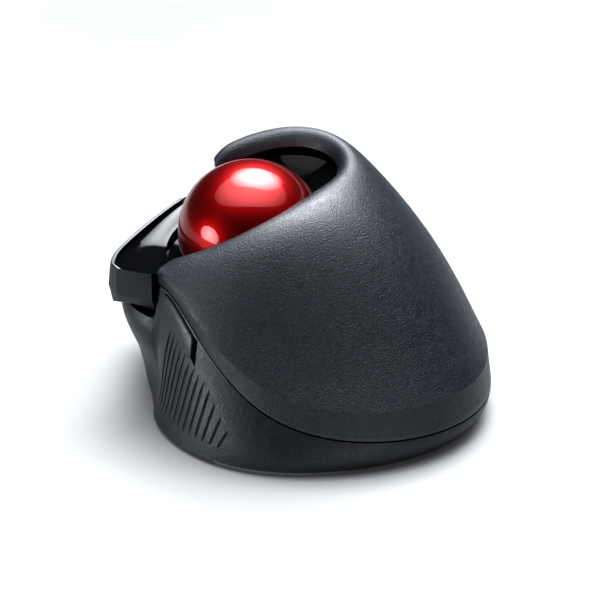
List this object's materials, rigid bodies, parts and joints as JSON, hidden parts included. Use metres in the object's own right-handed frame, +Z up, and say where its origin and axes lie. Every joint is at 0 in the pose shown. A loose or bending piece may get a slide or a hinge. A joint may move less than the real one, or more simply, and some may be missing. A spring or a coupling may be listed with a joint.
{
  "type": "trackball mouse",
  "caption": "Wireless finger-operated trackball mouse: tall palm shell open round a big red ball, click buttons at the front, scroll wheel, side button and ribbed grip.",
  "frame": {"origin": "on the desk, under the middle of the mouse's bounding box", "axes": "+Y towards the front (away from the palm, where the fingers point), +X to the user's right, +Z up from the desk"},
  "size_m": [0.0818, 0.0908, 0.055],
  "materials": {
    "grained_black": "leather-grained soft black",
    "satin_black": "fine satin texture",
    "gloss_black": "polished piano black",
    "satin_slate": "satin dark blue-grey",
    "ball_red": "clear gloss over metallic red",
    "cup_plastic": "plain moulded black",
    "zirconia": "polished ceramic",
    "clear_lens": "clear moulded optics",
    "chip_black": "matt moulding compound",
    "board_green": "solder-masked board",
    "steel": "bright plated",
    "cell_wrap": "printed foil sleeve, no text",
    "rubber": "matt ribbed",
    "switch_black": "plain moulded",
    "foot_grey": "low-friction sheet"
  },
  "bodies": {
    "body": {"ball_bezel": "gloss_black", "ball_cup": "cup_plastic", "base_shell": "satin_black", "battery_cell": "cell_wrap", "battery_plate": "steel", "battery_spring": "steel", "bottom_plate": "satin_black", "case_screw_1": "steel", "case_screw_2": "steel", "case_screw_3": "steel", "case_screw_4": "steel", "case_screw_5": "steel", "foot_front_left": "foot_grey", "foot_front_right": "foot_grey", "foot_left": "foot_grey", "foot_rear": "foot_grey", "foot_right": "foot_grey", "left_switch": "switch_black", "left_switch_riser": "cup_plastic", "main_board": "board_green", "pair_switch": "switch_black", "palm_shell": "grained_black", "power_slide_switch": "switch_black", "radio_chip": "chip_black", "right_switch": "switch_black", "right_switch_riser": "cup_plastic", "sensor_board": "board_green", "sensor_chip": "chip_black", "sensor_lens": "clear_lens", "side_switch": "switch_black", "support_bearing_1": "zirconia", "support_bearing_2": "zirconia", "support_bearing_3": "zirconia", "wheel_encoder": "switch_black", "wheel_switch": "switch_black"},
    "ball": {"trackball": "ball_red"},
    "left_button": {"left_button": "gloss_black"},
    "right_button": {"right_button": "gloss_black"},
    "side_button": {"side_button": "satin_slate"},
    "wheel_carrier": {"wheel_carrier": "cup_plastic"},
    "wheel": {"wheel_hub": "satin_slate", "wheel_tyre": "rubber", "wheel_axle": "steel"},
    "battery_door": {"battery_door": "satin_black"},
    "power_switch": {"power_switch": "satin_slate"},
    "pair_button": {"pair_button": "satin_slate"}
  },
  "joints": [
    {"name": "ball_roll", "type": "hinge", "parent": "body", "child": "ball", "pos_m": [0.00247, 0.013, 0.038], "axis": [1, 0, 0], "continuous": true},
    {"name": "left_click", "type": "hinge", "parent": "body", "child": "left_button", "pos_m": [-0.00153, 0.025, 0.033], "axis": [-1, 0, 0], "range_deg": [0, 1.5], "stiffness_Nm_per_rad": 0.3, "springref_deg": -1.15},
    {"name": "right_click", "type": "hinge", "parent": "body", "child": "right_button", "pos_m": [0.02147, 0.024, 0.033], "axis": [-1, 0, 0], "range_deg": [0, 2], "stiffness_Nm_per_rad": 0.25, "springref_deg": -1.15},
    {"name": "side_click", "type": "slide", "parent": "body", "child": "side_button", "axis": [0.9511, -0.309, 0], "range_m": [0, 0.0005], "stiffness_N_per_m": 800, "springref_m": -0.0002},
    {"name": "wheel_click", "type": "slide", "parent": "body", "child": "wheel_carrier", "axis": [0, 0, -1], "range_m": [0, 0.0006], "stiffness_N_per_m": 1200, "springref_m": -0.0003},
    {"name": "wheel_spin", "type": "hinge", "parent": "wheel_carrier", "child": "wheel", "pos_m": [0.01147, 0.0374, 0.0177], "axis": [1, 0, 0], "continuous": true},
    {"name": "door_off", "type": "slide", "parent": "body", "child": "battery_door", "axis": [0, 0, -1], "range_m": [0, 0.012]},
    {"name": "power_slide", "type": "slide", "parent": "body", "child": "power_switch", "axis": [1, 0, 0], "range_m": [0, 0.0028]},
    {"name": "pair_press", "type": "slide", "parent": "body", "child": "pair_button", "axis": [0, 0, 1], "range_m": [0, 0.0003], "stiffness_N_per_m": 600, "springref_m": -0.0002}
  ]
}
